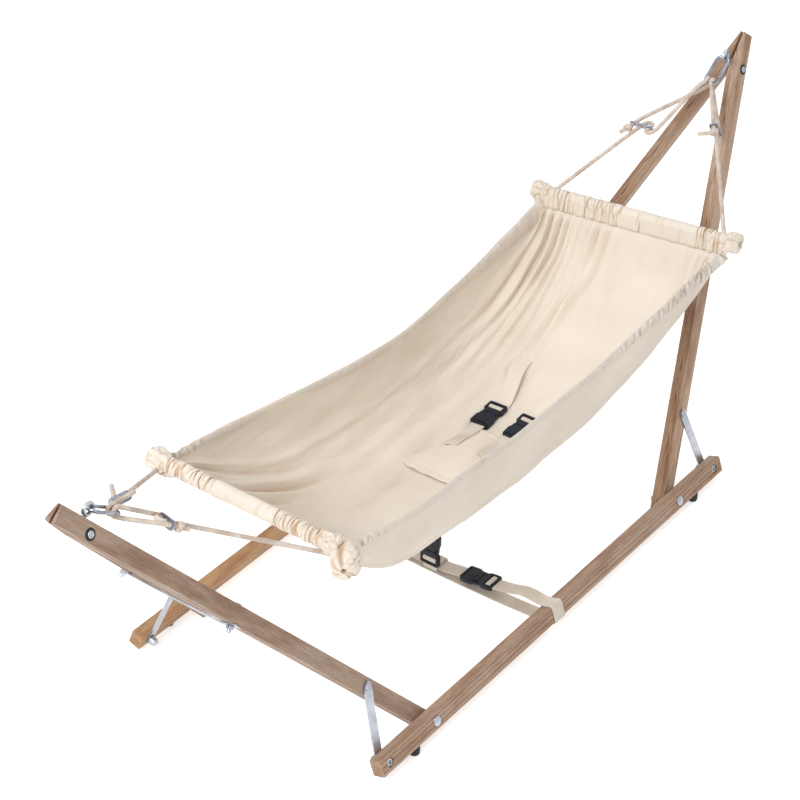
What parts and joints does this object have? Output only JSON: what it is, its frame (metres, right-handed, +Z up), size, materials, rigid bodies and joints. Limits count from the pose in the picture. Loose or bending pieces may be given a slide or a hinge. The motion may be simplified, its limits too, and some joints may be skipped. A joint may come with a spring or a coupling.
{
  "type": "baby hammock with wooden stand",
  "caption": "Cloth baby hammock hung by cords and spring hooks between the two ends of a low ash stand, with spreader bars, a safety harness and a belt that steadies the swing.",
  "frame": {"origin": "middle of the stand on the floor: centre of the footprint, z = 0 on the floor under the rubber feet", "axes": "+Y from the foot end to the head end of the hammock, along the rails; +X across the stand; +Z up"},
  "size_m": [0.4702, 1.6418, 0.5845],
  "materials": {
    "ash": "planed ash bars, oiled, straight and cathedral grain",
    "dowel": "turned light wood dowel",
    "zinc_steel": "bright zinc-plated bolts, nuts, screws and flat strips",
    "hook_steel": "bent round steel wire, zinc plated",
    "adjuster_aluminium": "drilled and tumbled aluminium plate",
    "canvas": "undyed cotton canvas, plain weave, puckered hems",
    "webbing": "undyed cotton tape, 25 mm",
    "cord": "twisted natural cord, 6.5 mm",
    "buckle_plastic": "moulded side-release buckle, fine satin",
    "rubber": "black rubber foot"
  },
  "bodies": {
    "stand": {"rail_right": "ash", "rail_left": "ash", "leg_foot_left": "ash", "leg_head_left": "ash", "leg_foot_right": "ash", "leg_head_right": "ash", "brace_foot_left": "zinc_steel", "brace_head_left": "zinc_steel", "brace_foot_right": "zinc_steel", "brace_head_right": "zinc_steel", "leg_bolt_foot_left": "zinc_steel", "leg_bolt_head_left": "zinc_steel", "leg_bolt_foot_right": "zinc_steel", "leg_bolt_head_right": "zinc_steel", "brace_bolt_foot_left": "zinc_steel", "brace_bolt_head_left": "zinc_steel", "brace_bolt_foot_right": "zinc_steel", "brace_bolt_head_right": "zinc_steel", "brace_screw_foot_left": "zinc_steel", "brace_screw_head_left": "zinc_steel", "brace_screw_foot_right": "zinc_steel", "brace_screw_head_right": "zinc_steel", "strap_bolt_foot_left": "zinc_steel", "strap_bolt_head_left": "zinc_steel", "strap_bolt_foot_right": "zinc_steel", "strap_bolt_head_right": "zinc_steel", "foot_pad_foot_left": "rubber", "foot_pad_head_left": "rubber", "foot_pad_foot_right": "rubber", "foot_pad_head_right": "rubber", "cross_strap_foot": "zinc_steel", "apex_bolt_foot": "zinc_steel", "eye_foot": "zinc_steel", "cross_strap_head": "zinc_steel", "apex_bolt_head": "zinc_steel", "eye_head": "zinc_steel", "belt": "webbing", "belt_buckle": "buckle_plastic"},
    "hammock": {"hook_foot": "hook_steel", "spreader_bar_foot": "dowel", "hook_head": "hook_steel", "spreader_bar_head": "dowel", "cord_foot_left": "cord", "cord_adjuster_foot_left": "adjuster_aluminium", "cord_foot_right": "cord", "cord_adjuster_foot_right": "adjuster_aluminium", "cord_head_left": "cord", "cord_adjuster_head_left": "adjuster_aluminium", "cord_head_right": "cord", "cord_adjuster_head_right": "adjuster_aluminium", "hammock_cloth": "canvas", "harness_panel": "canvas", "shoulder_strap_left": "webbing", "harness_buckle_left": "buckle_plastic", "shoulder_strap_right": "webbing", "harness_buckle_right": "buckle_plastic"},
    "gate_foot": {"hook_gate_foot": "hook_steel"},
    "gate_head": {"hook_gate_head": "hook_steel"},
    "anchor": {"anchor_strap": "webbing", "anchor_buckle": "buckle_plastic"}
  },
  "joints": [
    {"name": "hammock_swing", "type": "hinge", "parent": "stand", "child": "hammock", "pos_m": [0, 0, 0.55453], "axis": [0, 1, 0.0074], "range_deg": [-4, 4]},
    {"name": "anchor_lean", "type": "hinge", "parent": "stand", "child": "anchor", "pos_m": [0.006, -0.02, 0.01055], "axis": [0, 1, 0], "range_deg": [-11, 11]},
    {"name": "hook_gate_foot_open", "type": "hinge", "parent": "hammock", "child": "gate_foot", "pos_m": [0.0105, -0.71832, 0.52524], "axis": [0, -0.5446, -0.8387], "range_deg": [0, 25], "stiffness_Nm_per_rad": 0.03, "springref_deg": -17.19},
    {"name": "hook_gate_head_open", "type": "hinge", "parent": "hammock", "child": "gate_head", "pos_m": [0.0105, 0.71603, 0.53515], "axis": [0, -0.5736, 0.8192], "range_deg": [0, 25], "stiffness_Nm_per_rad": 0.03, "springref_deg": -17.19}
  ],
  "couplings": [
    {"joint": "anchor_lean", "follows": "hammock_swing", "ratio": -2.59}
  ]
}
